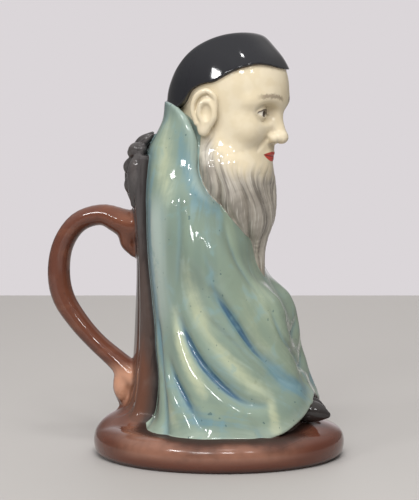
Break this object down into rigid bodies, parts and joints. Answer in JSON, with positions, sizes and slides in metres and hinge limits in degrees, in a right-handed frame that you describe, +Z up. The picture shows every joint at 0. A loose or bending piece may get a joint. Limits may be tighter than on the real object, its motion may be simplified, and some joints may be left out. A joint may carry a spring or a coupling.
{
  "type": "toby jug",
  "caption": "Glazed pottery figural jug: a bearded old man in a skullcap and long cloak, seated on a round foot, with a loop handle at the back and the mouth in the cap.",
  "frame": {"origin": "middle of the flat underside, at the centre of the round foot, on the table", "axes": "+X to the front of the seated figure, +Y to the figure's left, +Z up through the head; the handle is at -X"},
  "size_m": [0.1386, 0.1096, 0.1906],
  "materials": {
    "glazed_pottery": "high gloss"
  },
  "bodies": {
    "root": {"jug": "glazed_pottery"}
  },
  "joints": []
}
